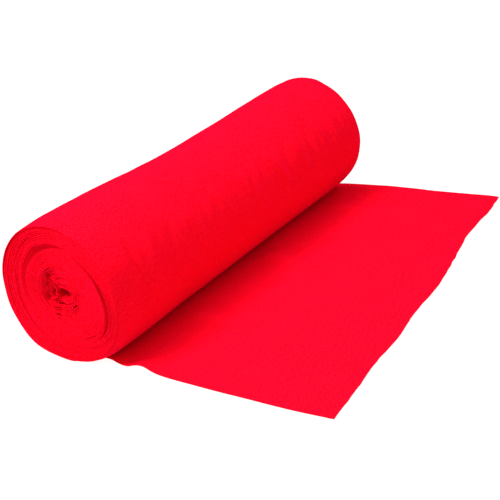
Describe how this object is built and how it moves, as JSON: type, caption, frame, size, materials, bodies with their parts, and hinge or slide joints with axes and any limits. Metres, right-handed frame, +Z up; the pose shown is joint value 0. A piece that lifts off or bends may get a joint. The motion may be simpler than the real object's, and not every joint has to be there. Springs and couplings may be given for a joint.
{
  "type": "roll of flannel fabric",
  "caption": "Thick roll of red napped cotton flannel lying on its side, its loose end drawn out flat over the floor to a slanting cut edge.",
  "frame": {"origin": "middle of the flat spot that the roll rests on, half-way along the roll", "axes": "+Z up, +Y along the roll to its far end, +X the way the loose end runs out over the floor"},
  "size_m": [0.4826, 0.628, 0.1886],
  "materials": {
    "red_flannel": "napped matt cotton"
  },
  "bodies": {
    "root": {"wound_roll": "red_flannel", "loose_end": "red_flannel"}
  },
  "joints": []
}
